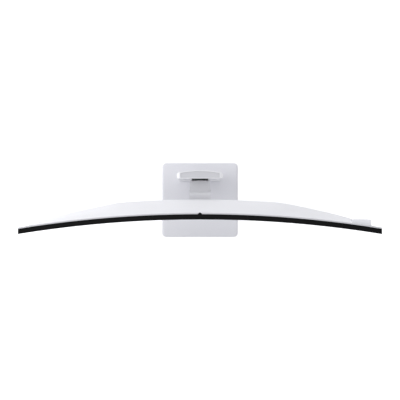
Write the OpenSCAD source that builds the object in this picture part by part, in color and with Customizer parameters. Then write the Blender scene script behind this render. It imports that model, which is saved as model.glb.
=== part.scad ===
/* [Screen head] */
// Width of the head, flat across its two ends
head_w = 1215; // [1100:1:1300]
// Height of the head
head_h = 365; // [352:1:400]
// Height of the top of the head above the desk, with the arm fully up
head_top = 568; // [550:1:620]
// Radius of the curved glass
panel_r = 3800; // [3000:50:5000]
// Where the middle of the glass stands, from the middle of the base
glass_y = -65; // [-70:0.5:-62]
// Depth of the black panel frame
frame_depth = 17.5; // [15:0.5:18.5]
// Width of the frame's lip round the glass
frame_lip = 2.5; // [2:0.1:4]
// Height of the chin under the glass
chin_h = 20; // [18:0.5:26]

/* [Panel layers] */
// Thickness of the liquid crystal cell
cell_t = 1.8; // [1.4:0.1:2.0]
// Thickness of one optical film
film_t = 0.4; // [0.3:0.05:0.45]
// Thickness of the light guide
guide_t = 3; // [2.5:0.1:3.2]
// Thickness of the steel backlight pan
pan_t = 1; // [0.8:0.1:1.2]

/* [Rear cover] */
// Wall of the rear cover
cover_wall = 3; // [2.5:0.1:3.5]
// Depth of the flat rim round the cover
rim_d = 4.5; // [4:0.5:7]
// Height of that rim above and below the bulge
rim_h = 4; // [3.5:0.1:6]
// How far the bulge stands behind the rim
bulge = 45; // [42:0.5:48]
// Half the width over which the bulge keeps its depth
shoulder_x = 276; // [272:1:310]
// Where the bulge has tapered away, from the middle
taper_x = 598; // [560:1:600]
// How far that taper swells out on its way
taper_belly = 0.6; // [0:0.1:1]
// Height of the slope under the top rim
slope_h = 86; // [80:1:88]
// Height of the slope above the bottom rim
skirt_h = 80; // [76:1:82]

/* [Wall mount] */
// Spacing of the four mounting screws, both ways
mount_pitch = 100; // [98:1:102]
// Radius of their M4 threads
mount_r = 2; // [1.9:0.05:2.1]
// Depth of their threads
mount_depth = 10; // [8:0.5:14]
// Side of the square recess round them
recess_w = 124; // [122:1:128]
// Depth of that recess
recess_d = 24.5; // [22:0.5:26]

/* [Ports] */
// Width of the port bay
bay_w = 210; // [208:1:216]
// Height of the port bay
bay_h = 32; // [30:0.5:36]
// Inner edge of the port bay, from the middle
bay_x = 75; // [72:1:78]
// Depth of the port bay's floor behind the cover's middle
bay_d = 27; // [26:0.5:29]
// Width of the side pod
pod_w = 62; // [58:1:66]
// Height of the side pod
pod_h = 105; // [100:1:112]
// Inner edge of the side pod, from the middle
pod_x = 514; // [510:1:518]
// Where the pod's rear face stands
pod_y = -66; // [-68:0.5:-64]

/* [Tilt hinge] */
// Where the tilt axis stands, from the middle of the base
tilt_y = 14; // [13:0.5:16]
// Radius of the round rear of the hinge cover
barrel_r = 22; // [21:0.5:23]
// Width of the hinge cover
barrel_w = 76; // [74:1:80]
// Radius of the tilt shaft
shaft_r = 6; // [5:0.25:7]

/* [Arm] */
// Width of the arm's cover
arm_w = 72; // [70:1:76]
// Height of the arm's cover
arm_h = 35; // [33:1:37]
// Width of the arched notch at the arm's rear
notch_w = 57; // [50:1:60]
// How far the arm slides down
lift_travel = 110; // [80:1:115]

/* [Column] */
// Width of the column
column_w = 161; // [150:1:170]
// Where the column's front stands, from the middle of the base
column_y = 75; // [74:0.5:77]
// Depth of the column in its middle
column_d = 28; // [27.5:0.5:32]
// How far the column's top stands above the tilt axis, with the arm fully up
column_over = 54.5; // [53:0.5:80]
// Wall of the column's shell
column_wall = 3; // [2:0.25:3.25]
// Rounding of the column's two top ends
column_round = 12; // [8:0.5:16]
// Width of the cable hole through the column
cable_w = 50; // [30:1:60]
// Height of the cable hole
cable_h = 40; // [20:1:50]

/* [Base] */
// Width of the base
base_w = 300; // [280:1:340]
// Depth of the base
base_d = 293; // [280:1:340]
// Height of the base's top above the desk
base_top = 14.5; // [14.5:0.1:16]
// Height of the rubber feet under the base
foot_h = 2.5; // [2:0.1:3]
// Radius of the base's corners
base_corner = 16; // [12:1:24]
// Width of the soft bevel round the base's top
base_bevel = 10; // [4:1:12]
// Radius of the swivel spigot
spigot_r = 24; // [18:0.5:26]

/* [Hidden] */
$fn = 64;

// Gap left between pieces that are fixed together
gap = 0.3;
// Gap between a thin layer and the next one
leaf = 0.1;
// Radial clearance of a shaft that turns in its bore
run = 0.06;
// Gap between pieces that move past each other
slide = 0.4;
// Sheet metal of the brackets
sheet = 3;

head_bottom = head_top - head_h;
head_mid = (head_top + head_bottom) / 2;
half_w = head_w / 2;
inner_w = half_w - frame_lip;
film_at = cell_t + gap;
guide_at = film_at + 3 * (film_t + leaf / 2);
reflect_at = guide_at + guide_t + leaf;
reflect_t = 0.3;
pan_at = reflect_at + reflect_t + leaf;
pan_back = pan_at + pan_t;
flange_at = pan_back + leaf;
flange_t = 2.5;
flange_w = 11;
glass_low = head_bottom + chin_h + gap;
glass_high = head_top - frame_lip - gap;
guide_low = glass_low + 8;
cover_at = frame_depth + 0.2;
rim_back = frame_depth + rim_d;
cover_back = rim_back + bulge;
foot_rise = 20;
foot_share = 0.28;
skirt_top = head_bottom + foot_rise + skirt_h - 5;
recess_floor = glass_y + cover_back - recess_d;
bay_floor = glass_y + cover_back - bay_d;
bay_z = skirt_top - 8;
port_z = bay_z + bay_h / 2;
board_t = 1.6;
board_y = bay_floor - 19;
board_back = board_y + board_t;
// Left, right, bottom and top edges of the port bay and of the two large boards
bay = [-bay_x - bay_w, -bay_x, bay_z, bay_z + bay_h];
main_at = [bay[0] - 6, bay[1] - 55, port_z - 30, port_z + 38];
power_at = [bay[1] - 50, bay[1] + 63, port_z - 44, head_mid - mount_pitch / 2 - 9.5];
// Where the studs of those boards stand
board_studs = [for (b = [main_at, power_at]) each [for (x = [b[0] + 7, b[1] - 6], z = [b[2] + 6, b[3] - 6]) [x, z]]];
vent_x = 90;
vent_w = 180;
vent_z = head_top - rim_h - slope_h - 30;
vent_h = 24;
talk_x = 140;
talk_w = 100;
talk_z = head_bottom + foot_rise + 15;
talk_h = 30;
pod_z = head_mid + 54.5;
pod_back = pod_y;
tilt_z = head_mid;
column_top = tilt_z + column_over;
column_mid = column_y + column_d / 2;
foot_z = base_top + 0.5;
drum_z = column_top - 17;
drum_r = 6.5;

// Depth of a curved layer at a distance from the middle
function arc_y(x, off) = glass_y - panel_r + sqrt((panel_r + off) * (panel_r + off) - x * x);
// A rise from 0 to 1 that starts softly and ends straight
function soft(s, k) = s <= 0 ? 0 : s < k ? s * s / (2 * k * (1 - k / 2)) : s < 1 ? (s - k / 2) / (1 - k / 2) : 1;
// A rise from 0 to 1 that starts and ends softly
function ease(s, k) = s <= 0 ? 0 : s < k ? s * s / (2 * k * (1 - k)) : s < 1 - k ? (s - k / 2) / (1 - k)
    : s < 1 ? 1 - (1 - s) * (1 - s) / (2 * k * (1 - k)) : 1;
// The bulge's depth across the head, and its share up the head
function bulge_at(x) = let (t = soft((abs(x) - shoulder_x) / (taper_x - shoulder_x), 0.06))
    bulge * (1 - t) * (1 + taper_belly * t * t);
function top_share(z) = ease((head_top - z - rim_h) / slope_h, 0.12);
function low_share(z) = z - head_bottom <= rim_h ? 0
    : z - head_bottom < foot_rise ? foot_share * (z - head_bottom - rim_h) / (foot_rise - rim_h)
    : foot_share + (1 - foot_share) * ease((z - head_bottom - foot_rise) / (skirt_h - 5), 0.1);
function cover_y(x, z) = arc_y(x, rim_back) + bulge_at(x) * min(top_share(z), low_share(z));

// Corner of an outline, rounded with radius r
function unit(v) = v / norm(v);
function bend(a, b, c, r, n) = r == 0 ? [b]
    : let (u = unit(a - b), v = unit(c - b), half = acos(u * v) / 2, m = b + unit(u + v) * r / sin(half),
        s = b + u * r / tan(half), e = b + v * r / tan(half),
        a0 = atan2(s.y - m.y, s.x - m.x), a1 = atan2(e.y - m.y, e.x - m.x), da = (a1 - a0 + 540) % 360 - 180)
      [for (i = [0:n]) m + r * [cos(a0 + da * i / n), sin(a0 + da * i / n)]];
function rounded(p, r, n = 6) = [for (i = [0:len(p) - 1])
    each bend(p[(i + len(p) - 1) % len(p)], p[i], p[(i + 1) % len(p)], is_list(r) ? r[i] : r, n)];
function box_points(w, d) = [[-w / 2, -d / 2], [w / 2, -d / 2], [w / 2, d / 2], [-w / 2, d / 2]];

// A box from one corner to the other
module block(a, b) translate(a) cube(b - a);
// A plate with rounded corners lying flat, and one standing with its face to the rear
module slab(w, d, h, r, n = 6) linear_extrude(h) polygon(rounded(box_points(w, d), r, n));
module panel(w, h, t, r) translate([0, t, 0]) rotate([90, 0, 0]) slab(w, h, t, r);
// A rod along X, and one along Y
module rod_x(r, x0, x1) translate([x0, 0, 0]) rotate([0, 90, 0]) cylinder(r = r, h = x1 - x0);
module rod_y(r, y0, y1) translate([0, y0, 0]) rotate([-90, 0, 0]) cylinder(r = r, h = y1 - y0);
// A layer that follows the curved glass, cut flat at both ends
module curved(off, t, half, z0, z1) {
    reach = asin(min(0.9, (half + 8) / panel_r)) + 0.1;
    intersection() {
        translate([0, glass_y - panel_r, z0]) rotate([0, 0, 90 - reach])
            rotate_extrude(angle = 2 * reach, $fn = 256) translate([panel_r + off, 0]) square([t, z1 - z0]);
        block([-half, arc_y(half, off) - 20, z0 - 1], [half, glass_y + off + t + 20, z1 + 1]);
    }
}

// ---- Panel ----
module lcd_cell() color("#101013") curved(0, cell_t, inner_w - gap, glass_low, glass_high);
module optical_films() color("#e8ecef")
    for (i = [0:2]) curved(film_at + i * (film_t + leaf / 2), film_t, inner_w - 5, guide_low, glass_high - 4);
module light_guide() color("#dfe9ea") curved(guide_at + leaf, guide_t - leaf, inner_w - 5, guide_low, glass_high - 4);
module reflector_sheet() color("#f4f4f2") curved(reflect_at, reflect_t, inner_w - 5, guide_low, glass_high - 4);
module led_bar() color("#e9e7d8") difference() {
    curved(guide_at + leaf, guide_t - leaf, inner_w - 12, guide_low - 5, guide_low - 0.4);
    // Gaps between the lamps, which stand on the bar
    for (i = [-30:29]) translate([(i + 0.5) * led_step, arc_y((i + 0.5) * led_step, guide_at) - 4, guide_low - 4])
        translate([-led_step / 4, 0, 0]) cube([led_step / 2, 12, 5]);
}
led_step = 19;
module backlight_pan() color("#a9abad") {
    difference() {
        curved(pan_at, pan_t, inner_w - gap, head_bottom + flange_w, glass_high);
        for (x = [-250, 250]) translate([x, 0, head_mid]) rod_y(4, glass_y - 60, glass_y + 60);
    }
    // Studs that carry the boards
    for (p = board_studs) translate([p.x, 0, p.y]) rod_y(3, arc_y(p.x, pan_at + pan_t / 2), board_y);
    for (x = [-120, -20, 20, 120]) translate([x, 0, timing_z + 9]) rod_y(2.5, arc_y(x, pan_at + pan_t / 2), timing_y);
}
timing_z = head_bottom + 22;
timing_y = arc_y(0, pan_back) + 6;
module panel_frame() color("#1b1b1c") {
    difference() {
        curved(0, frame_depth, half_w, head_bottom, head_top);
        curved(-2, frame_depth + 4, inner_w, head_bottom + frame_lip, head_top - frame_lip);
        joystick_hole();
    }
    // Flange that holds the backlight
    difference() {
        curved(flange_at, flange_t, inner_w + 1, head_bottom + 1, head_top - 1);
        curved(flange_at - 2, flange_t + 4, inner_w - flange_w, head_bottom + flange_w - 3, head_top - flange_w);
        joystick_room();
        joystick_hole();
    }
}
joy_in = 7;
joy_y = glass_y + frame_depth - joy_in;
module joystick_hole() translate([0, joy_y, head_bottom - 1]) cylinder(r = 5.2, h = 14);
module joystick_room() block([-10, joy_y - 7, head_bottom + frame_lip], [10, joy_y + 8, head_bottom + 14]);
module bottom_bezel() color("#17171a") difference() {
    union() {
        curved(0, 1.6, inner_w - gap, head_bottom + frame_lip + gap, glass_low - gap);
        curved(1.5, guide_at, inner_w - gap, head_bottom + frame_lip + gap, head_bottom + 7);
    }
    joystick_room();
}
module flex_cables() color("#b5651d") for (x = [-400 : 200 : 400]) if (abs(x) > 0) let (x1 = x / 4.2) {
    y0 = arc_y(abs(x1) - 12, cell_t) + 0.05;
    y1 = timing_y + board_t;
    z1 = head_bottom + flange_w - 1.6;
    block([x1 - 12, y0, z1], [x1 + 12, y0 + 0.15, glass_low + 3]);
    block([x1 - 12, y0, z1], [x1 + 12, y1 + 0.6, z1 + 0.3]);
    block([x1 - 12, y1 + 0.1, z1], [x1 + 12, y1 + 0.6, timing_z + 6]);
}

// ---- Rear cover and what closes it ----
recess = [-recess_w / 2, recess_w / 2, head_mid - recess_w / 2, head_mid + recess_w / 2];
pod = [pod_x, pod_x + pod_w, pod_z, pod_z + pod_h];
vent_l = [-vent_x - vent_w, -vent_x, vent_z, vent_z + vent_h];
vent_r = [vent_x, vent_x + vent_w, vent_z, vent_z + vent_h];
talk_l = [-talk_x - talk_w, -talk_x, talk_z, talk_z + talk_h];
talk_r = [talk_x, talk_x + talk_w, talk_z, talk_z + talk_h];
eye = [-6.5, 6.5, head_top - 8, head_top];
windows = [recess, bay, pod, vent_l, vent_r, talk_l, talk_r, eye];
// Lines of the cover's grid: every window edge and a steady spacing between
function near(v, list) = min([for (q = list) abs(q - v)]);
function sorted(l) = len(l) <= 1 ? l : let (p = l[floor(len(l) / 2)])
    concat(sorted([for (q = l) if (q < p) q]), [p], sorted([for (q = l) if (q > p) q]));
edge_x = concat([for (s = [-1, 1]) each [s * half_w, s * (half_w - cover_wall), s * (half_w - cover_wall - 1)]],
    [for (w = windows) each [w[0], w[1]]]);
edge_z = concat([head_bottom, head_bottom + cover_wall, head_bottom + cover_wall + 0.8, head_bottom + foot_rise,
    head_top, head_top - cover_wall, head_top - cover_wall - 0.8], [for (w = windows) each [w[2], w[3]]]);
steady_x = [for (i = [-15:15]) i * (half_w - 14) / 15];
steady_z = concat([for (i = [0:7]) head_top - rim_h - 1 - i * slope_h / 7], [for (i = [0:5]) head_bottom + foot_rise + 3 + i * skirt_h / 5.4]);
line_x = sorted(concat(edge_x, [for (v = steady_x) if (near(v, edge_x) > 9) v]));
line_z = sorted(concat(edge_z, [for (v = steady_z) if (near(v, edge_z) > 3) v]));
module rear_cover() {
    nx = len(line_x);
    nz = len(line_z);
    function solid_at(i, j) = i < 0 || j < 0 || i > nx - 2 || j > nz - 2 ? false
        : let (x = (line_x[i] + line_x[i + 1]) / 2, z = (line_z[j] + line_z[j + 1]) / 2)
          len([for (w = windows) if (x > w[0] && x < w[1] && z > w[2] && z < w[3]) 1]) == 0;
    // The wall runs forward to the frame along the cover's edge
    function inner_y(x, z) = abs(x) > half_w - cover_wall - 0.5 || z < head_bottom + cover_wall + 0.4
        || z > head_top - cover_wall - 0.4 ? arc_y(x, cover_at) : cover_y(x, z) - cover_wall;
    function o(i, j) = j * nx + i;
    function n(i, j) = nx * nz + j * nx + i;
    pts = concat([for (z = line_z) for (x = line_x) [x, cover_y(x, z), z]],
        [for (z = line_z) for (x = line_x) [x, inner_y(x, z), z]]);
    quads = [for (j = [0:nz - 2]) for (i = [0:nx - 2]) if (solid_at(i, j)) each concat(
        [[o(i, j), o(i + 1, j), o(i + 1, j + 1), o(i, j + 1)], [n(i, j), n(i, j + 1), n(i + 1, j + 1), n(i + 1, j)]],
        solid_at(i + 1, j) ? [] : [[o(i + 1, j + 1), o(i + 1, j), n(i + 1, j), n(i + 1, j + 1)]],
        solid_at(i - 1, j) ? [] : [[o(i, j), o(i, j + 1), n(i, j + 1), n(i, j)]],
        solid_at(i, j + 1) ? [] : [[o(i, j + 1), o(i + 1, j + 1), n(i + 1, j + 1), n(i, j + 1)]],
        solid_at(i, j - 1) ? [] : [[o(i + 1, j), o(i, j), n(i, j), n(i + 1, j)]])];
    color("#f1f1f3") polyhedron(pts, [for (q = quads) each [[q[0], q[1], q[2]], [q[0], q[2], q[3]]]], convexity = 8);
}
// A tub that fills a window of the cover and sinks to a floor
module tub(w, floor_y, wall) intersection() {
    difference() {
        block([w[0] + gap, floor_y - wall, w[2] + gap], [w[1] - gap, glass_y + cover_back + 5, w[3] - gap]);
        block([w[0] + gap + wall, floor_y, w[2] + gap + wall], [w[1] - gap - wall, glass_y + cover_back + 9, w[3] - gap - wall]);
    }
    curved(-40, cover_back + 39.6, max(abs(w[0]), abs(w[1])), w[2], w[3]);
}
module mount_points() for (x = [-1, 1], z = [-1, 1])
    translate([x * mount_pitch / 2, 0, head_mid + z * mount_pitch / 2]) children();
module mount_recess() color("#e9e9ec") difference() {
    tub(recess, recess_floor, 2.5);
    mount_points() rod_y(5 + gap, recess_floor - 9, recess_floor + 9);
    translate([0, 0, catch_z]) block([-12, recess_floor - 9, -3], [12, recess_floor + 1, 5]);
}
module vesa_bracket() color("#9fa2a5") difference() {
    union() {
        mount_points() rod_y(5, arc_y(mount_pitch / 2, pan_back) + gap, recess_floor);
        difference() {
            translate([0, recess_floor - 5.5, head_mid]) panel(mount_pitch + 24, mount_pitch + 24, 2, 8);
            translate([0, recess_floor - 7, head_mid]) panel(mount_pitch - 24, mount_pitch - 24, 5, 8);
            // Room for the latch
            translate([0, recess_floor - 7, catch_z]) block([-13, 0, -9], [13, 5, 20]);
        }
    }
    mount_points() rod_y(mount_r, recess_floor - mount_depth, recess_floor + 1);
}
module vent_grilles() color("#d9dadd") for (w = [vent_l, vent_r]) difference() {
    intersection() {
        curved(cover_back - 2.2, 2, abs(w[0]) + abs(w[1]), w[2] + gap, w[3] - gap);
        block([w[0] + gap, -200, w[2]], [w[1] - gap, 200, w[3]]);
    }
    for (i = [0:16]) block([w[0] + 8 + i * (w[1] - w[0] - 16) / 16.6, -60, w[2] + 3], [w[0] + 13 + i * (w[1] - w[0] - 16) / 16.6, 60, w[3] - 3]);
}
// Grilles on the cover's lower slope, in front of the speakers
talk_tilt = atan(bulge * (1 - foot_share) / (skirt_h - 5));
module on_skirt(w) let (x = (w[0] + w[1]) / 2, z = (w[2] + w[3]) / 2)
    translate([x, cover_y(x, z) - 1.4, z]) rotate([0, 0, -asin(x / (panel_r + cover_back))]) rotate([-talk_tilt, 0, 0]) children();
module speaker_grilles() color("#d9dadd") for (w = [talk_l, talk_r]) on_skirt(w) difference() {
    block([-talk_w / 2 + 1, -1, -talk_h / 2 / cos(talk_tilt) + 1], [talk_w / 2 - 1, 1, talk_h / 2 / cos(talk_tilt) - 1]);
    for (i = [0:14]) block([-talk_w / 2 + 6 + i * 6, -2, -talk_h / 2 + 3], [-talk_w / 2 + 9 + i * 6, 2, talk_h / 2 - 3]);
}
module speakers() color("#2b2b2d") for (w = [talk_l, talk_r]) let (x = (w[0] + w[1]) / 2) {
    y0 = arc_y(abs(x) - 45, pan_back) + gap;
    difference() {
        block([x - 45, y0, talk_z - 8], [x + 45, y0 + 14, talk_z + talk_h]);
        translate([x - 20, 0, talk_z + 11]) rod_y(12, y0 + 11, y0 + 20);
        translate([x + 20, 0, talk_z + 11]) rod_y(12, y0 + 11, y0 + 20);
    }
    for (s = [-20, 20]) translate([x + s, y0 + 11, talk_z + 11]) rotate([-90, 0, 0]) cylinder(r1 = 5, r2 = 10.5, h = 2.6);
}

// ---- Ports ----
ac_x = -bay_x - 29;
hdmi_x = [ac_x - 42, ac_x - 66];
dp_x = ac_x - 91;
usbb_x = ac_x - 114;
phone_x = ac_x - 132;
lock_x = ac_x - 150;
socket_len = bay_floor - board_back + 1.2;
// A shell with a tongue in it, opening to the rear
module socket(w, h, wall, tongue_w, tongue_h, z = 0) {
    difference() {
        block([-w / 2, 0, -h / 2], [w / 2, socket_len, h / 2]);
        block([-w / 2 + wall, 2, -h / 2 + wall], [w / 2 - wall, socket_len + 1, h / 2 - wall]);
    }
    block([-tongue_w / 2, 1, z - tongue_h / 2], [tongue_w / 2, socket_len - 3, z + tongue_h / 2]);
}
module at_port(x) translate([x, board_back, port_z]) children();
module port_panel() color("#2a2b2e") difference() {
    tub(bay, bay_floor, 2.2);
    at_port(ac_x) block([-14 - gap, 1, -10.2 - gap], [14 + gap, 40, 10.2 + gap]);
    for (x = hdmi_x) at_port(x) block([-7.6 - gap, 1, -3.1 - gap], [7.6 + gap, 40, 3.1 + gap]);
    at_port(dp_x) block([-9 - gap, 1, -3.2 - gap], [9 + gap, 40, 3.2 + gap]);
    at_port(usbb_x) block([-6 - gap, 1, -5.5 - gap], [6 + gap, 40, 5.5 + gap]);
    at_port(phone_x) rod_y(4 + gap, 1, 40);
    at_port(lock_x) block([-3.5, 1, -1.5], [3.5, 40, 1.5]);
}
module hdmi_sockets() color("#b9bbbe") for (x = hdmi_x) at_port(x) socket(15.2, 6.2, 0.6, 11, 1.9);
module displayport_socket() color("#b9bbbe") at_port(dp_x) socket(18, 6.4, 0.7, 13.5, 2, 0.6);
module usb_b_socket() color("#b9bbbe") at_port(usbb_x) socket(12, 11, 1, 5.6, 3.2);
module headphone_socket() color("#2c2d30") at_port(phone_x) difference() {
    rod_y(4, 0, socket_len);
    rod_y(1.8, 2, socket_len + 1);
}
module ac_inlet() color("#1d1e20") at_port(ac_x) {
    difference() {
        block([-14, 0, -10.2], [14, socket_len, 10.2]);
        block([-12.2, 3, -8.4], [12.2, socket_len + 1, 8.4]);
    }
    for (p = [[-7, -1], [7, -1], [0, 4]]) block([p.x - 1, 2, p.y - 2], [p.x + 1, socket_len - 2.5, p.y + 2]);
}
module side_pod() color("#eeeef0") difference() {
    intersection() {
        block([pod[0] + gap, pod_back - 40, pod[2] + gap], [pod[1] - gap, pod_back, pod[3] - gap]);
        curved(cover_at, 60, pod[1], pod[2], pod[3]);
    }
    block([pod[0] + 2.8, pod_back - 60, pod[2] + 2.8], [pod[1] - 2.8, pod_back - 2.5, pod[3] - 2.8]);
    for (z = pod_usb) at_pod(z) block([-8 - gap, -3.1 - gap, -7 - gap], [8, 3.1 + gap, 7 + gap]);
    at_pod(pod_c) block([-8 - gap, -1.9 - gap, -4.9 - gap], [8, 1.9 + gap, 4.9 + gap]);
}
pod_usb = [pod_z + 30, pod_z + 52];
pod_c = pod_z + 74;
pod_mid = pod_back - 9;
// Places a socket's mouth on the pod's outer side, opening to +X
module at_pod(z) translate([pod[1] - gap - 1, pod_mid, z]) children();
module pod_socket(h, t, wall, tongue_h, tongue_t) {
    difference() {
        block([-16, -t / 2, -h / 2], [0.5, t / 2, h / 2]);
        block([-14, -t / 2 + wall, -h / 2 + wall], [2, t / 2 - wall, h / 2 - wall]);
    }
    block([-15, -tongue_t / 2, -tongue_h / 2], [-2, tongue_t / 2, tongue_h / 2]);
}
module usb_a_sockets() color("#b9bbbe") {
    for (z = pod_usb) at_pod(z) pod_socket(14, 6.2, 0.5, 11.4, 2);
    // Their small board, which stands on the pod's rear wall
    block([pod[1] - 19.2, pod_back - 2.5 - 3 - board_t, pod_z + 12], [pod[1] - gap - 17, pod_back - 2.8, pod_z + 92]);
}
module usb_c_socket() color("#b9bbbe") at_pod(pod_c) pod_socket(9.8, 3.8, 0.5, 6.7, 0.8);
module light_sensor() color("#141416") translate([0, glass_y + frame_depth, head_top - 7])
    intersection() {
        cylinder(r = 5.6, h = 7);
        block([-7, cover_at - frame_depth, 0], [7, 7, 7]);
    }

// ---- Electronics ----
module main_board() color("#1f5a34") difference() {
    block([main_at[0], board_y, main_at[2]], [main_at[1], board_back, main_at[3]]);
    translate([main_at[1] - 10, 0, main_at[2]]) rod_y(2, board_y - 1, board_back + 1);
}
// Fins of the heatsink, along its width
fin_step = 5.3;
fin_count = 12;
module heatsink() color("#c5c7c9") let (x = main_at[0] + 56, z = main_at[3] - 22) {
    block([x, board_back, z], [x + fin_step * (fin_count - 1) + 1.7, board_back + 2, z + 21]);
    for (i = [0:fin_count - 1]) block([x + i * fin_step, board_back + 1.5, z], [x + i * fin_step + 1.2, board_back + 9, z + 21]);
}
// Height of the transformer, coil and capacitors
tall = 13;
module power_board() color("#b08a4a") let (x = power_at[1] - 58, z = power_at[2] + 6) {
    block([power_at[0], board_y, power_at[2]], [power_at[1], board_back, power_at[3]]);
    block([x, board_back, power_at[3] - 26], [x + 34, board_back + tall, power_at[3] - 5]);
    block([x, board_back, z], [x + 26, board_back + tall, z + 24]);
    for (dx = [36, 48]) translate([x + dx, 0, z + 15]) rod_y(5, board_back, board_back + tall);
}
module timing_board() color("#1f5a34") block([-130, timing_y, timing_z], [130, timing_y + board_t, timing_z + 18]);

// ---- Joystick under the chin ----
joy_c = [0, joy_y, head_bottom + 4];
module joystick_base() color("#2a2b2e") translate(joy_c) difference() {
    union() {
        block([-9, -6.3, 5], [9, 6.3, 6.2]);
        for (s = [-1, 1]) block([s * 8 - 1, -6.3, frame_lip + 0.1 - 4], [s * 8 + 1, 6.3, 6]);
    }
    rod_x(0.7 + run, -10, 10);
}
module joystick_ring() color("#3a3b3e") translate(joy_c) difference() {
    union() {
        cylinder(r = 4.8, h = 2, center = true);
        rod_x(0.7, -8.6, 8.6);
    }
    cylinder(r = 3.4, h = 3, center = true);
    rotate([0, 0, 90]) rod_x(0.7 + run, -5, 5);
    block([-2.9, -2.9, -2], [2.9, 2.9, 2]);
}
module joystick_stem() color("#4a4b4e") translate(joy_c) difference() {
    union() {
        cylinder(r = 2.4, h = 2.4, center = true);
        rotate([0, 0, 90]) rod_x(0.7, -4.7, 4.7);
        translate([0, 0, 1]) cylinder(r = 2.4, h = 2);
        translate([0, 0, -4]) cylinder(r = 1.3, h = 4);
    }
    translate([0, 0, 1.6]) cylinder(r = 1, h = 3);
}
module joystick_cap() color("#202124") translate(joy_c) {
    difference() {
        translate([0, 0, -8]) cylinder(r = 4.4, h = 5.4);
        translate([0, 0, -5.4]) cylinder(r = 1.3 + run, h = 4);
    }
}

// ---- Quick mount and tilt hinge ----
plate_y = recess_floor + gap;
plate_back = plate_y + 4;
catch_z = head_mid - 40;
ear_w = 4.5;
ear_x = 26;
ear_r = 16;
boss_x = 16;
neck_x = 20;
neck_h = 6;
module mount_plate() color("#c9cacd") {
    difference() {
        translate([0, plate_y, head_mid]) panel(mount_pitch - 16, mount_pitch - 6, 4, 5);
        translate([0, 0, catch_z]) block([-10, plate_y - 1, -3], [10, plate_back + 1, 5]);
    }
    // Cheeks that guide the release button
    for (s = [-1, 1]) translate([0, 0, catch_z])
        block([s * 12.4 - 1, plate_back - 0.1, -2], [s * 12.4 + 1, plate_back + 9, 9]);
}
module latch() color("#8d9094") translate([0, 0, catch_z]) {
    block([-9, plate_back + 0.4, -2], [9, plate_back + 2.4, 9]);
    block([-9, recess_floor - 5, -2], [9, plate_back + 1, 1]);
    block([-9, recess_floor - 5, -6], [9, recess_floor - 3, 1]);
}
module release_button() color("#3a3b3e") translate([0, 0, catch_z])
    block([-11, plate_back + 4.8, -1], [11, plate_back + 11.4, 8.5]);
module tilt_bracket() color("#9fa2a5") translate([0, tilt_y, tilt_z]) difference() {
    union() {
        block([-ear_x - ear_w, plate_back - tilt_y, -ear_r], [ear_x + ear_w, plate_back + sheet - tilt_y, ear_r]);
        for (s = [-1, 1]) translate([s * (ear_x + ear_w / 2), 0, 0]) {
            rod_x(ear_r, -ear_w / 2, ear_w / 2);
            block([-ear_w / 2, plate_back - tilt_y, -ear_r], [ear_w / 2, 0, ear_r]);
        }
    }
    rod_x(shaft_r + 0.02, -60, 60);
}
// Side outline of the hinge cover: round to the rear and square to the front
module knuckle(r, half, front) {
    rod_x(r, -half, half);
    block([-half, front, -r], [half, 0, r]);
}
module hinge_cover() color("#d6d7da") translate([0, tilt_y, tilt_z]) difference() {
    knuckle(barrel_r, barrel_w / 2, plate_back + sheet + gap - tilt_y);
    knuckle(barrel_r - 2.5, barrel_w / 2 - 2.5, plate_back - tilt_y);
    block([-neck_x - 0.7, 4, -neck_h - 3], [neck_x + 0.7, 40, neck_h + 6.5]);
}
module tilt_shaft() color("#b9bbbe") translate([0, tilt_y, tilt_z])
    rod_x(shaft_r, -ear_x - ear_w - 4, ear_x + ear_w + 4);
module tilt_springs() color("#6f7276") translate([0, tilt_y, tilt_z]) for (s = [-1, 1])
    translate([s * (boss_x + ear_x) / 2, 0, 0]) difference() {
        rod_x(shaft_r + 4.5, -(ear_x - boss_x) / 2 + gap, (ear_x - boss_x) / 2 - gap);
        rod_x(shaft_r + 0.2, -20, 20);
    }

// ---- Arm ----
arm_back = column_y - 4.2;
module arm_casting() color("#55575b") translate([0, 0, tilt_z]) difference() {
    union() {
        translate([0, tilt_y, 0]) rod_x(12, -boss_x, boss_x);
        block([-boss_x, tilt_y, -neck_h], [boss_x, tilt_y + 14, neck_h]);
        block([-neck_x, tilt_y + 12, -neck_h], [neck_x, tilt_y + barrel_r + 12, neck_h]);
        block([-arm_w / 2 + 2.5 + gap, tilt_y + barrel_r + 10, -arm_h / 2 + 2.5 + gap],
            [arm_w / 2 - 2.5 - gap, arm_back - 9, arm_h / 2 - 2.5 - gap]);
        block([-17, arm_back - 10, -12], [17, carriage_y, 12]);
    }
    translate([0, tilt_y, 0]) rod_x(shaft_r + run, -60, 60);
}
module arm_cover() color("#d2d3d6") translate([0, 0, tilt_z]) difference() {
    block([-arm_w / 2, tilt_y, -arm_h / 2], [arm_w / 2, arm_back, arm_h / 2]);
    block([-arm_w / 2 + 2.5, tilt_y - 1, -arm_h / 2 + 2.5], [arm_w / 2 - 2.5, arm_back + 1, arm_h / 2 - 2.5]);
    translate([0, tilt_y, 0]) rod_x(barrel_r + 0.5, -60, 60);
    // Arched notch that bares the dark slit in front of the column
    difference() {
        block([-notch_w / 2, arm_back - 4.5, 4], [notch_w / 2, arm_back + 1, arm_h / 2 + 1]);
        translate([0, arm_back - 1.8 - 150, 3]) cylinder(r = 150, h = arm_h, $fn = 200);
    }
}

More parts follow.
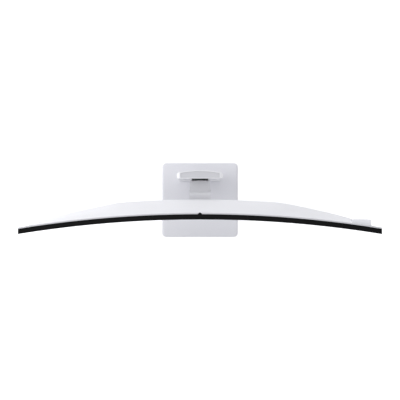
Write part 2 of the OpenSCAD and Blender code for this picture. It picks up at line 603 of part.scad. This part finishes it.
// ---- Lift inside the column ----
column_in = column_y + column_wall;
crown = 402;
function column_rear(x) = column_y + column_d - crown + sqrt(crown * crown - x * x);
module column_outline(inset) {
    w = column_w / 2 - inset;
    arc = [for (i = [-10:10]) let (x = -i * w / 10) [x, column_rear(x) - inset]];
    r = max(1, 8 - inset);
    polygon(rounded(concat([[-w, column_y + inset], [w, column_y + inset]], arc),
        concat([max(0.8, 4 - inset), max(0.8, 4 - inset)], [r], [for (i = [1:19]) 0], [r]), 5));
}
rail_x = 44;
spine_x = rail_x + 10;
spine_back = column_rear(spine_x) - column_wall - gap;
carriage_y = column_in + 6;
rail_y = column_in + 4;
cable_z = base_top + 72;
module cable_cut(grow) translate([0, 0, cable_z]) translate([0, column_y - 20, 0])
    panel(cable_w + 2 * grow, cable_h + 2 * grow, 70, cable_h / 3);
module carriage() color("#8d9094") translate([0, 0, tilt_z]) {
    block([-rail_x, carriage_y, -40], [rail_x, carriage_y + 4, 19.5]);
    for (s = [-1, 1]) {
        block([s * (rail_x + 1.2) - 1.3, rail_y, -50], [s * (rail_x + 1.2) + 1.3, rail_y + 8, 25]);
        // Lugs that the spring bands are hooked to
        block([s * 18.5 - 9.5, carriage_y + 3, -40], [s * 18.5 + 9.5, drum_y + drum_r - 0.3, -36]);
    }
}
module ball_cages() color("#c8b26a") for (s = [-1, 1]) translate([s * (rail_x + 4.25), rail_y + 4, tilt_z]) {
    block([-0.9, -2.4, -22], [0.9, 2.4, 6]);
    for (z = [-19 : 5.5 : 3]) translate([0, 0, z]) sphere(r = 1.35, $fn = 24);
}
module outer_rails() color("#8d9094") for (s = [-1, 1])
    block([s * (rail_x + 7) - 1, rail_y, tilt_z - lift_travel - 54], [s * (rail_x + 7) + 1, rail_y + 8, column_top - 10]);
drum_y = spine_back - 1.5 - 0.8 - drum_r;
module column_spine() color("#a9abad") difference() {
    union() {
        block([-spine_x, spine_back - 1.5, foot_z + 4], [spine_x, spine_back, column_top - 8]);
        for (s = [-1, 1]) {
            block([s * (spine_x - 1) - 1, column_in + 1, foot_z + 4], [s * (spine_x - 1) + 1, spine_back, column_top - 8]);
            // Ears that carry the drums' axle
            block([s * 33.5 - 1, column_in + 2, drum_z - 7], [s * 33.5 + 1, spine_back - 1, drum_z + 8]);
        }
    }
    cable_cut(2 + gap);
    translate([0, drum_y, drum_z]) rod_x(2 + run, -36, 36);
}
module spring_drums() color("#3f4145") translate([0, drum_y, drum_z]) {
    rod_x(2, -36, 36);
    for (s = [-1, 1]) translate([s * 18.5, 0, 0]) rod_x(drum_r, -10, 10);
}
module spring_bands() color("#7d8085") for (s = [-1, 1])
    block([s * 18.5 - 9, drum_y + drum_r + 0.1, tilt_z - 40], [s * 18.5 + 9, drum_y + drum_r + 0.4, drum_z]);
module arm_slot(y0, y1) block([-18, y0, tilt_z - lift_travel - 13], [18, y1, tilt_z + 13]);
module column_shell() color("#e6e7ea") difference() {
    intersection() {
        translate([0, 0, foot_z]) linear_extrude(column_top - foot_z) column_outline(0);
        // Side outline with rounded top ends
        union() {
            block([-column_w / 2, column_y - 5, foot_z], [column_w / 2, column_y + column_d + 5, column_top - column_round]);
            block([-cap_w, column_y - 5, foot_z], [cap_w, column_y + column_d + 5, column_top]);
            for (s = [-1, 1]) translate([s * cap_w, 0, column_top - column_round]) rod_y(column_round, column_y - 5, column_y + column_d + 5);
        }
    }
    translate([0, 0, foot_z - 1]) linear_extrude(column_top - column_round - 3 - foot_z) column_outline(column_wall);
    intersection() {
        translate([0, 0, foot_z]) linear_extrude(column_top) column_outline(column_wall);
        block([-cap_w, column_y - 5, foot_z], [cap_w, column_y + column_d + 5, column_top + 5]);
    }
    arm_slot(column_y - 5, column_in + 0.5);
    cable_cut(2 + gap);
}
// Half the width of the flat between the column's rounded top ends
cap_w = column_w / 2 - column_round;
module column_front() color("#26272a") difference() {
    block([-notch_w / 2, column_y - gap - 3.2, tilt_z - lift_travel - 24], [notch_w / 2, column_y - gap, column_top - 5]);
    arm_slot(column_y - 9, column_y + 1);
}
module column_cap() color("#c6c7ca") intersection() {
    translate([0, 0, column_top - 5]) linear_extrude(3.5) column_outline(column_wall + gap);
    block([-cap_w + gap, column_y - 5, column_top - 9], [cap_w - gap, column_y + column_d + 5, column_top]);
}
module cable_grommet() color("#3a3b3e") intersection() {
    difference() {
        cable_cut(2);
        cable_cut(0);
    }
    block([-80, column_y - 4.5, 0], [80, column_y + column_d + 0.5, column_top]);
}

// ---- Swivel and base ----
module at_swivel() translate([0, column_mid, 0]) children();
module swivel_hub() color("#9fa2a5") difference() {
    union() {
        translate([0, 0, foot_z]) linear_extrude(4) column_outline(column_wall + gap);
        at_swivel() translate([0, 0, foot_h + 4.2]) cylinder(r = spigot_r, h = foot_z - foot_h - 4.2, $fn = 96);
    }
    at_swivel() cylinder(r = 4 + run, h = 60);
}
module swivel_bush() color("#e9e7d8") at_swivel() difference() {
    translate([0, 0, foot_h + 2 + gap]) cylinder(r = spigot_r + 4.4, h = base_top - foot_h - 2 - gap, $fn = 96);
    cylinder(r = spigot_r + run, h = 60, $fn = 96);
}
module base_cover() color("#e4e4e8") difference() {
    hull() {
        translate([0, 0, foot_h + 2]) slab(base_w, base_d, base_top - 3 - foot_h - 2, base_corner);
        translate([0, 0, base_top - 1]) slab(base_w - 2 * base_bevel, base_d - 2 * base_bevel, 1, max(2, base_corner - base_bevel));
    }
    translate([0, 0, foot_h]) slab(base_w - 8, base_d - 8, base_top - 3.2 - foot_h, max(2, base_corner - 4));
    at_swivel() cylinder(r = spigot_r + 4.4 + gap, h = 60, $fn = 96);
}
module base_weight() color("#6f7276") difference() {
    translate([0, 0, foot_h + 2 + gap]) slab(base_w - 8 - 2 * gap, base_d - 8 - 2 * gap, base_top - 3.2 - foot_h - 2 - 2 * gap, max(2, base_corner - 4));
    at_swivel() cylinder(r = spigot_r + 4.4 + gap, h = 60, $fn = 96);
}
module base_underside() color("#3a3b3e") difference() {
    translate([0, 0, foot_h]) slab(base_w - 1, base_d - 1, 2, base_corner);
    at_swivel() cylinder(r = 14, h = 60);
}
module rubber_feet() color("#232325") for (x = [-1, 1], y = [-1, 0, 1])
    translate([x * (base_w / 2 - 26), y * (base_d / 2 - 26), 0]) cylinder(r = 10, h = foot_h);
module thumbscrew() color("#b9bbbe") at_swivel() {
    translate([0, 0, foot_h + 0.6]) cylinder(r = 12, h = 3.2, $fn = 20);
    translate([0, 0, foot_h + 3]) cylinder(r = 4, h = foot_z - foot_h);
}

lcd_cell();
optical_films();
light_guide();
reflector_sheet();
led_bar();
backlight_pan();
panel_frame();
bottom_bezel();
rear_cover();
mount_recess();
vesa_bracket();
vent_grilles();
speaker_grilles();
port_panel();
main_board();
power_board();
timing_board();
heatsink();
flex_cables();
hdmi_sockets();
displayport_socket();
usb_b_socket();
ac_inlet();
side_pod();
usb_a_sockets();
usb_c_socket();
headphone_socket();
speakers();
light_sensor();
joystick_base();
joystick_ring();
joystick_stem();
joystick_cap();
mount_plate();
tilt_bracket();
hinge_cover();
tilt_shaft();
tilt_springs();
release_button();
latch();
arm_casting();
arm_cover();
carriage();
ball_cages();
outer_rails();
column_spine();
spring_drums();
spring_bands();
column_shell();
column_front();
column_cap();
cable_grommet();
swivel_hub();
swivel_bush();
base_cover();
base_weight();
base_underside();
rubber_feet();
thumbscrew();
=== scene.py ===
import bpy, bmesh, math
import numpy as np
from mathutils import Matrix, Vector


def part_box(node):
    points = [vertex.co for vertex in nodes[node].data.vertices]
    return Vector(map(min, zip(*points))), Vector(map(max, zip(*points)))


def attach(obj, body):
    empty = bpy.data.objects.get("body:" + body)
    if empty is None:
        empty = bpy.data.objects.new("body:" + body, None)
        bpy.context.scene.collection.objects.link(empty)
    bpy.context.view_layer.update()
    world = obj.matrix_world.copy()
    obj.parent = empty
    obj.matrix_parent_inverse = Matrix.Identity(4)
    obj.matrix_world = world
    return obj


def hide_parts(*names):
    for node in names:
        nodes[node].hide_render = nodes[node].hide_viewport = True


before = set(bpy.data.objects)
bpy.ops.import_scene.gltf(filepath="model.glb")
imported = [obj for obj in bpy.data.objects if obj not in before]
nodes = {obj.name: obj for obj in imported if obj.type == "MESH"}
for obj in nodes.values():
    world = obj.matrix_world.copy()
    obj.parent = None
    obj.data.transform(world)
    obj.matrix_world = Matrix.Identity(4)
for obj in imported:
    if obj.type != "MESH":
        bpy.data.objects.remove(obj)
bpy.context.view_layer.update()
scene = bpy.context.scene
print("frame loaded:", len(nodes), "pieces")

def linearColor(hexText, alpha=1.0):
    # sRGB hex to the linear values that the shader wants
    parts = [int(hexText[i:i + 2], 16) / 255 for i in (1, 3, 5)]
    return tuple(c / 12.92 if c <= 0.04045 else ((c + 0.055) / 1.055) ** 2.4 for c in parts) + (alpha,)

def addNode(tree, kind, settings=None, links=None):
    node = tree.nodes.new(kind)
    for key, value in (settings or {}).items():
        if isinstance(key, str) and hasattr(node, key):
            setattr(node, key, value)
        else:
            node.inputs[key].default_value = value
    for key, source in (links or {}).items():
        tree.links.new(source, node.inputs[key])
    return node

def newMaterial(name):
    material = bpy.data.materials.new(name)
    material.use_nodes = True
    tree = material.node_tree
    shader = tree.nodes["Principled BSDF"]
    return material, tree, shader

def buildMesh(name, points, faces, material, body, slotName, replacesNodes=(), smooth=True):
    mesh = bpy.data.meshes.new(name)
    mesh.from_pydata(np.asarray(points, float).tolist(), [], np.asarray(faces, int).tolist())
    # points that fall together at a pole are merged, which closes it
    work = bmesh.new()
    work.from_mesh(mesh)
    bmesh.ops.remove_doubles(work, verts=work.verts, dist=1e-7)
    work.to_mesh(mesh)
    work.free()
    mesh.polygons.foreach_set("use_smooth", np.full(len(mesh.polygons), smooth))
    mesh.update()
    piece = bpy.data.objects.new(name, mesh)
    scene.collection.objects.link(piece)
    mesh.materials.append(material)
    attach(piece, body)
    if replacesNodes:
        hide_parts(*replacesNodes)
    return piece

cameraSet = {"height": 3.496, "lens": 79.0}
camera = bpy.data.objects.new("camera", bpy.data.cameras.new("camera"))
camera.data.lens = cameraSet["lens"]
camera.data.sensor_width = 36
camera.location = (0.0, 0.0, cameraSet["height"])
scene.collection.objects.link(camera)
scene.camera = camera

stageSet = {"floor": "#f4f4f5", "world": 0.66, "rear": 11.0, "left": 56.0, "right": 9.0, "top": 22.5}
floorMesh = bpy.data.meshes.new("floor")
floorMesh.from_pydata([(-9, -9, -0.0005), (9, -9, -0.0005), (9, 9, -0.0005), (-9, 9, -0.0005)], [], [(0, 1, 2, 3)])
floor = bpy.data.objects.new("floor", floorMesh)
scene.collection.objects.link(floor)
floorPaint, tree, shader = newMaterial("pale matte floor")
shader.inputs["Base Color"].default_value = linearColor(stageSet["floor"])
shader.inputs["Roughness"].default_value = 0.9
# the eye and mirrors see the floor white, with the object's soft shadow left on it
path = addNode(tree, "ShaderNodeLightPath")
seen = addNode(tree, "ShaderNodeMath", {"operation": "MAXIMUM"}, {0: path.outputs["Is Camera Ray"], 1: path.outputs["Is Glossy Ray"]})
white = addNode(tree, "ShaderNodeEmission", {"Color": (1, 1, 1, 1), "Strength": 0.55})
both = addNode(tree, "ShaderNodeAddShader", None, {0: shader.outputs[0], 1: white.outputs[0]})
pick = addNode(tree, "ShaderNodeMixShader", None, {0: seen.outputs[0], 1: shader.outputs[0], 2: both.outputs[0]})
tree.links.new(pick.outputs[0], tree.nodes["Material Output"].inputs["Surface"])
floorMesh.materials.append(floorPaint)

world = bpy.data.worlds.new("studio")
world.use_nodes = True
scene.world = world
back = world.node_tree.nodes["Background"]
back.inputs["Color"].default_value = linearColor("#f7f8fb")
back.inputs["Strength"].default_value = stageSet["world"]
scene.view_settings.view_transform = "Standard"

def softbox(name, place, aim, size, power):
    light = bpy.data.objects.new(name, bpy.data.lights.new(name, "AREA"))
    light.data.shape = "RECTANGLE"
    light.data.size, light.data.size_y = size
    light.data.energy = power
    light.location = place
    way = np.array(aim, float) - np.array(place, float)
    light.rotation_euler = (math.acos(-way[2] / np.linalg.norm(way)), 0, math.atan2(way[1], way[0]) - math.pi / 2)
    scene.collection.objects.link(light)
    return light

softbox("rearSoftbox", (-0.4, 3.2, 1.9), (0, 0, 0.35), (3.2, 1.6), stageSet["rear"])
softbox("leftSoftbox", (-3.4, 0.6, 1.6), (0, 0, 0.35), (2.2, 1.6), stageSet["left"])
softbox("rightSoftbox", (3.4, 0.9, 1.6), (0, 0, 0.35), (2.2, 1.6), stageSet["right"])
softbox("topSoftbox", (-0.5, -0.9, 4.2), (0, 0, 0.3), (2.6, 2.0), stageSet["top"])
print("camera, floor and lamps set")

def mouldedPlastic(name, color, roughness=0.5, grainMm=0.9, grainDepth=0.05, drift=0.025, specular=0.5, rimShade=None):
    # moulded ABS: a fine spark-eroded grain, with a slow drift of colour from the mould's flow
    material, tree, shader = newMaterial(name)
    where = addNode(tree, "ShaderNodeTexCoord")
    flow = addNode(tree, "ShaderNodeTexNoise", {"Scale": 6.0, "Detail": 3.0}, {"Vector": where.outputs["Object"]})
    base = linearColor(color)
    low = tuple(c * (1 - drift) for c in base[:3]) + (1,)
    high = tuple(min(1, c * (1 + drift)) for c in base[:3]) + (1,)
    tint = addNode(tree, "ShaderNodeMix", {"data_type": "RGBA", 6: low, 7: high}, {0: flow.outputs["Fac"]})
    colorOut = tint.outputs[2]
    if rimShade:
        # painted shade: the narrow flat upward edge that meets the black frame, above this height, is tinted grey to
        # stand in for the shade it gets
        split = addNode(tree, "ShaderNodeSeparateXYZ", None, {0: where.outputs["Object"]})
        above = addNode(tree, "ShaderNodeMath", {"operation": "GREATER_THAN", 1: rimShade[1]}, {0: split.outputs[2]})
        colorOut = addNode(tree, "ShaderNodeMix", {"data_type": "RGBA", 7: linearColor(rimShade[0])}, {0: above.outputs[0], 6: colorOut}).outputs[2]
    tree.links.new(colorOut, shader.inputs["Base Color"])
    # real grain is about 0.1 mm, drawn coarser so that it shows
    grain = addNode(tree, "ShaderNodeTexNoise", {"Scale": 1000 / grainMm / 2, "Detail": 2.0}, {"Vector": where.outputs["Object"]})
    bump = addNode(tree, "ShaderNodeBump", {"Strength": grainDepth * 2, "Distance": 0.0002}, {"Height": grain.outputs["Fac"]})
    tree.links.new(bump.outputs["Normal"], shader.inputs["Normal"])
    rough = addNode(tree, "ShaderNodeMapRange", {"To Min": roughness - 0.05, "To Max": roughness + 0.05}, {"Value": grain.outputs["Fac"]})
    tree.links.new(rough.outputs[0], shader.inputs["Roughness"])
    shader.inputs["IOR"].default_value = 1.53
    shader.inputs["Specular IOR Level"].default_value = specular
    return material

def workedMetal(name, color, roughness, lineMm, stretch, depth=0.06, metallic=1.0):
    # rolled or brushed metal: fine lines along one way, stretched noise
    material, tree, shader = newMaterial(name)
    where = addNode(tree, "ShaderNodeTexCoord")
    turned = addNode(tree, "ShaderNodeMapping", {"Scale": stretch}, {"Vector": where.outputs["Object"]})
    lines = addNode(tree, "ShaderNodeTexNoise", {"Scale": 1000 / lineMm, "Detail": 4.0}, {"Vector": turned.outputs[0]})
    base = linearColor(color)
    tint = addNode(tree, "ShaderNodeMix", {"data_type": "RGBA", 6: tuple(c * 0.82 for c in base[:3]) + (1,), 7: base}, {0: lines.outputs["Fac"]})
    tree.links.new(tint.outputs[2], shader.inputs["Base Color"])
    rough = addNode(tree, "ShaderNodeMapRange", {"To Min": roughness - 0.08, "To Max": roughness + 0.1}, {"Value": lines.outputs["Fac"]})
    tree.links.new(rough.outputs[0], shader.inputs["Roughness"])
    bump = addNode(tree, "ShaderNodeBump", {"Strength": depth, "Distance": 0.0003}, {"Height": lines.outputs["Fac"]})
    tree.links.new(bump.outputs["Normal"], shader.inputs["Normal"])
    shader.inputs["Metallic"].default_value = metallic
    return material

whiteAbs = mouldedPlastic("white moulded ABS", "#efeff2", 0.42)
# painted shade: the cover's flat edge by the black frame is tinted grey
coverAbs = mouldedPlastic("white moulded ABS with painted shade on its flat edge", "#efeff2", 0.42, rimShade=("#c9c9cd", 0.5662))
whiteBase = mouldedPlastic("white powder coated steel", "#e9e9ee", 0.5, 1.4, 0.07)
# pale grey plastic for grilles and plate; on the column cap and arm cover this grey is painted shade, for the shade
# they sit in under the head
greyAbsAndShade = mouldedPlastic("pale grey moulded ABS, painted shade on cap and arm", "#cfcfd3", 0.45)
hingeAbs = mouldedPlastic("off-white moulded ABS", "#e3e3e7", 0.45)
blackAbs = mouldedPlastic("black moulded ABS", "#0a0a0b", 0.55, specular=0.1)
darkAbs = mouldedPlastic("charcoal moulded ABS", "#2d2e31", 0.5)
# painted shade: the column front strip is made black so the slot reads as the shadow down in it
slotShadeBlack = mouldedPlastic("black, painted shade in the column slot", "#232426", 0.62, 1.6, 0.12)
zincSteel = workedMetal("zinc plated steel sheet", "#a9acb0", 0.38, 1.2, (1, 1, 8))
groundSteel = workedMetal("ground steel bar", "#b9bcc0", 0.25, 0.9, (8, 1, 1))
# painted shade: the arm casting is coloured dark so it reads as the shadow seen down the column slot
castAlloySlotShade = workedMetal("die-cast alloy, darkened as painted slot shade", "#47494d", 0.55, 2.5, (1, 1, 1), 0.15)
finAlloy = workedMetal("extruded aluminium", "#c9ccd0", 0.35, 1.0, (1, 1, 6))
plugSteel = workedMetal("nickel plated connector shell", "#c2c4c8", 0.28, 1.5, (1, 6, 1))
springSteel = workedMetal("blued spring steel", "#5c5f66", 0.32, 1.0, (6, 1, 1))
brassStamped = workedMetal("stamped brass", "#b99a4e", 0.35, 1.2, (1, 1, 5))
footRubber = mouldedPlastic("moulded rubber", "#202022", 0.8, 1.8, 0.2, 0.06, 0.3)
acetal = mouldedPlastic("natural acetal", "#e8e4d6", 0.35)
lightGuide = mouldedPlastic("clear acrylic sheet", "#dfe8ea", 0.12)
filmSheet = mouldedPlastic("diffuser film", "#eceff1", 0.55)
polyimide = mouldedPlastic("amber polyimide ribbon", "#b0602a", 0.35)

def screenGlass():
    # anti-glare polariser over black glass: a hazy black face, with a deeper printed border outside the picture
    material, tree, shader = newMaterial("anti-glare screen glass")
    where = addNode(tree, "ShaderNodeTexCoord")
    split = addNode(tree, "ShaderNodeSeparateXYZ", None, {0: where.outputs["Object"]})
    side = addNode(tree, "ShaderNodeMath", {"operation": "ABSOLUTE"}, {0: split.outputs[0]})
    outer = addNode(tree, "ShaderNodeMath", {"operation": "GREATER_THAN", 1: 0.59595}, {0: side.outputs[0]})
    low = addNode(tree, "ShaderNodeMath", {"operation": "LESS_THAN", 1: 0.2232}, {0: split.outputs[2]})
    high = addNode(tree, "ShaderNodeMath", {"operation": "GREATER_THAN", 1: 0.5585}, {0: split.outputs[2]})
    edge = addNode(tree, "ShaderNodeMath", {"operation": "MAXIMUM"}, {0: low.outputs[0], 1: high.outputs[0]})
    border = addNode(tree, "ShaderNodeMath", {"operation": "MAXIMUM"}, {0: edge.outputs[0], 1: outer.outputs[0]})
    tint = addNode(tree, "ShaderNodeMix", {"data_type": "RGBA", 6: linearColor("#17181b"), 7: linearColor("#0b0b0c")}, {0: border.outputs[0]})
    tree.links.new(tint.outputs[2], shader.inputs["Base Color"])
    haze = addNode(tree, "ShaderNodeTexNoise", {"Scale": 900.0, "Detail": 1.0}, {"Vector": where.outputs["Object"]})
    rough = addNode(tree, "ShaderNodeMapRange", {"To Min": 0.24, "To Max": 0.34}, {"Value": haze.outputs["Fac"]})
    tree.links.new(rough.outputs[0], shader.inputs["Roughness"])
    shader.inputs["IOR"].default_value = 1.5
    return material

def circuitBoard(name, mask, trace):
    # solder mask over copper tracks: a faint grid of tracks and pads
    material, tree, shader = newMaterial(name)
    where = addNode(tree, "ShaderNodeTexCoord")
    tracks = addNode(tree, "ShaderNodeTexBrick", {"Scale": 90.0, "Mortar Size": 0.06, "Color1": linearColor(mask), "Color2": linearColor(mask), "Mortar": linearColor(trace)}, {"Vector": where.outputs["Object"]})
    tree.links.new(tracks.outputs["Color"], shader.inputs["Base Color"])
    shader.inputs["Roughness"].default_value = 0.35
    shader.inputs["IOR"].default_value = 1.5
    return material

screen = screenGlass()
greenBoard = circuitBoard("green solder mask", "#1d5a35", "#2f7a4b")
powerBoard = circuitBoard("paper phenolic board", "#a97f42", "#8c6730")

finishes = {
    coverAbs: ["rear_cover"],
    whiteAbs: ["mount_recess", "side_pod", "column_shell"],
    whiteBase: ["base_cover"],
    # column_cap and arm_cover: grey here is painted shade
    greyAbsAndShade: ["vent_grilles", "speaker_grilles", "column_cap", "arm_cover", "mount_plate"],
    hingeAbs: ["hinge_cover"],
    blackAbs: ["panel_frame", "bottom_bezel", "light_sensor", "joystick_cap"],
    darkAbs: ["port_panel", "ac_inlet", "headphone_socket", "speakers", "joystick_base", "joystick_ring",
              "joystick_stem", "release_button", "cable_grommet", "base_underside"],
    # painted shade: column_front is black for the shadow seen down the column slot
    slotShadeBlack: ["column_front"],
    zincSteel: ["backlight_pan", "vesa_bracket", "tilt_bracket", "column_spine", "carriage", "swivel_hub"],
    groundSteel: ["tilt_shaft", "outer_rails", "thumbscrew", "latch", "base_weight"],
    # painted shade: arm_casting is dark for the shadow in the column slot
    castAlloySlotShade: ["arm_casting"],
    finAlloy: ["heatsink"],
    plugSteel: ["hdmi_sockets", "displayport_socket", "usb_b_socket", "usb_a_sockets", "usb_c_socket"],
    springSteel: ["tilt_springs", "spring_drums", "spring_bands"],
    brassStamped: ["ball_cages"],
    footRubber: ["rubber_feet"],
    acetal: ["swivel_bush", "led_bar"],
    lightGuide: ["light_guide"],
    filmSheet: ["optical_films", "reflector_sheet"],
    polyimide: ["flex_cables"],
    screen: ["lcd_cell"],
    greenBoard: ["main_board", "timing_board"],
    powerBoard: ["power_board"],
}
for material, names in finishes.items():
    for nodeName in names:
        mesh = nodes[nodeName].data
        mesh.materials.clear()
        mesh.materials.append(material)
print("materials given to", sum(len(v) for v in finishes.values()), "of", len(nodes), "nodes")

def gridFaces(rows, columns, closed=True):
    # quads between neighbouring rows of a grid, joined round where it is closed
    i, j = np.meshgrid(np.arange(rows - 1), np.arange(columns if closed else columns - 1), indexing="ij")
    k = (j + 1) % columns
    return np.stack([i * columns + j, i * columns + k, (i + 1) * columns + k, (i + 1) * columns + j], -1).reshape(-1, 4)

def turnedShape(profile, segments, ripple=None):
    # a profile of (radius, height) turned about Z: x = r cos t, y = r sin t, z = height, with r and z changed by ripple(r, t, z)
    profile = np.asarray(profile, float)
    t = np.arange(segments) * 2 * math.pi / segments
    r = np.repeat(profile[:, :1], segments, 1)
    z = np.repeat(profile[:, 1:], segments, 1)
    if ripple:
        r, z = ripple(r, t[None, :], z)
    return np.stack([r * np.cos(t), r * np.sin(t), z], -1).reshape(-1, 3), gridFaces(len(profile), segments)

def manyShapes(points, faces, places, turn=None):
    # the same shape at several places, as one set of points and faces
    if turn is not None:
        points = points @ np.asarray(turn, float).T
    shifts = np.asarray(places, float)
    allPoints = (points[None] + shifts[:, None]).reshape(-1, 3)
    allFaces = (faces[None] + (np.arange(len(shifts)) * len(points))[:, None, None]).reshape(-1, faces.shape[1])
    return allPoints, allFaces

def roundedPath(halfWidth, halfDepth, radius, count):
    # a rectangle with round corners, walked anticlockwise with its points evenly spread by angle round each corner
    corner = np.linspace(0, math.pi / 2, count)
    parts = []
    for step, (sx, sy) in enumerate(((1, 1), (-1, 1), (-1, -1), (1, -1))):
        a = corner + step * math.pi / 2
        parts.append(np.stack([sx * (halfWidth - radius) + radius * np.cos(a), sy * (halfDepth - radius) + radius * np.sin(a)], -1))
    return np.concatenate(parts)

# base: one shell of steel with a soft bevel, drawn in to the swivel's round hole
baseSet = {"bevel": 0.0095, "bevelHeight": 0.0042, "corner": 0.016, "hole": 0.0287, "steps": 9, "skin": 0.0032}
baseLow, baseHigh = (np.array(c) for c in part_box("base_cover"))
columnLow, columnHigh = (np.array(c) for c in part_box("swivel_hub"))
baseCentre = (baseLow + baseHigh) / 2
swivelY = (np.array(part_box("swivel_bush")[0])[1] + np.array(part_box("swivel_bush")[1])[1]) / 2
halfW, halfD = (baseHigh - baseLow)[:2] / 2
quarter = np.linspace(0, math.pi / 2, baseSet["steps"])
insets = np.concatenate([[0, 0], baseSet["bevel"] * (1 - np.cos(quarter))])
heights = np.concatenate([[baseLow[2], baseLow[2] + 0.003], baseHigh[2] - baseSet["bevelHeight"] * (1 - np.sin(quarter))])
rings = []
for inset, height in zip(insets, heights):
    # a ring of the shell: the outline drawn in by its inset, at its height
    ring = roundedPath(halfW - inset, halfD - inset, max(baseSet["corner"] - inset, 0.004), 12)
    rings.append(np.column_stack([ring + baseCentre[:2], np.full(len(ring), height)]))
# two flat rings inside the bevel and round the hole keep the top's shading flat
flatRing = rings[-1].copy()
flatRing[:, :2] = baseCentre[:2] + (flatRing[:, :2] - baseCentre[:2]) * 0.985
rings.append(flatRing)
towards = rings[-1][:, :2] - np.array([0, swivelY])
holeRing = towards / np.linalg.norm(towards, axis=1)[:, None] * baseSet["hole"] + np.array([0, swivelY])
rings.append(np.column_stack([np.array([0, swivelY]) + (holeRing - np.array([0, swivelY])) * 1.03, np.full(len(holeRing), baseHigh[2])]))
rings.append(np.column_stack([holeRing, np.full(len(holeRing), baseHigh[2])]))
rings.append(np.column_stack([holeRing, np.full(len(holeRing), baseHigh[2] - baseSet["skin"])]))
buildMesh("baseShell", np.concatenate(rings), gridFaces(len(rings), len(rings[0])), whiteBase, "base",
          "white_plastic", ["base_cover"])

# rubber feet: discs with a soft lower edge
footSet = {"radius": 0.010, "soft": 0.0007}
footLow, footHigh = (np.array(c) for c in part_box("rubber_feet"))
thick = footHigh[2] - footLow[2]
r, e = footSet["radius"], footSet["soft"]
arc = np.linspace(0, math.pi / 2, 5)
footProfile = np.concatenate([[[0, 0]], np.stack([r - e + e * np.sin(arc), e - e * np.cos(arc)], -1), [[r, thick], [0, thick]]])
footPoints, footFaces = turnedShape(footProfile, 40)
fx, fy = footHigh[0] - r, footHigh[1] - r
buildMesh("feet", *manyShapes(footPoints, footFaces, [(x * fx, y * fy, footLow[2]) for x in (-1, 1) for y in (-1, 0, 1)]),
          footRubber, "base", "rubber", ["rubber_feet"])

# screws of the quick-mount plate: pan heads with a cross driven into them
screwSet = {"head": 0.0036, "rise": 0.0022, "cross": 0.0006, "reach": 0.0021, "depth": 0.0012}
plateLow, plateHigh = (np.array(c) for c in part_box("mount_plate"))
plateBack = plateLow[1] + 0.004
dome = np.linspace(0, 1, 15)
headProfile = np.stack([screwSet["head"] * dome[::-1], screwSet["rise"] * np.sqrt(1 - (0.96 * dome[::-1]) ** 2)], -1)
headProfile = np.concatenate([[[screwSet["head"], 0]], headProfile])
headProfile[-1, 0] = 0
def crossCut(r, t, z):
    # the cross: pressed in where a point lies within the blade's half width of either arm
    across = np.minimum(np.abs(r * np.cos(t)), np.abs(r * np.sin(t)))
    cut = (across < screwSet["cross"] * 0.75) & (r < screwSet["reach"])
    return r, z - cut * screwSet["depth"]
screwPoints, screwFaces = turnedShape(headProfile, 48, crossCut)
screwPlaces = [(x * 0.034, plateBack, (plateLow[2] + plateHigh[2]) / 2 + z * 0.037) for x in (-1, 1) for z in (-1, 1)]
buildMesh("plateScrews", *manyShapes(screwPoints, screwFaces, screwPlaces, [(1, 0, 0), (0, 0, 1), (0, -1, 0)]),
          groundSteel, "head", "steel")

# release button: a pad of nylon with four finger ribs across it
buttonSet = {"ribs": 4, "ribHeight": 0.0006, "square": 6.0}
buttonLow, buttonHigh = (np.array(c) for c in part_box("release_button"))
u = np.linspace(0, 2 * math.pi, 72, endpoint=False)
v = np.concatenate([np.linspace(0, 1, 12), np.ones(10), np.linspace(1, 0, 24)])
along = np.concatenate([np.zeros(12), np.linspace(0.05, 0.92, 10), np.ones(24)])
# a superellipse in X and Z, carried from front to rear along Y, with the ribs as a cosine of X on the rear face
ex = np.sign(np.cos(u)) * np.abs(np.cos(u)) ** (2 / buttonSet["square"])
ez = np.sign(np.sin(u)) * np.abs(np.sin(u)) ** (2 / buttonSet["square"])
mid = (buttonLow + buttonHigh) / 2
half = (buttonHigh - buttonLow) / 2
bx = mid[0] + half[0] * v[:, None] * ex[None]
bz = mid[2] + half[2] * v[:, None] * ez[None]
wave = 0.5 - 0.5 * np.cos((bx - buttonLow[0]) / (2 * half[0]) * 2 * math.pi * buttonSet["ribs"])
dip = buttonSet["ribHeight"] * (wave - 1) * (along[:, None] == 1) * (v[:, None] < 0.95)
by = buttonLow[1] + 2 * half[1] * along[:, None] + dip
buttonPoints = np.stack([bx, np.broadcast_to(by, bx.shape), bz], -1).reshape(-1, 3)
buildMesh("releasePad", buttonPoints, gridFaces(len(v), len(u))[:, ::-1], darkAbs, "release_button",
          "dark_plastic", ["release_button"])
print("base, feet, screws and button made")
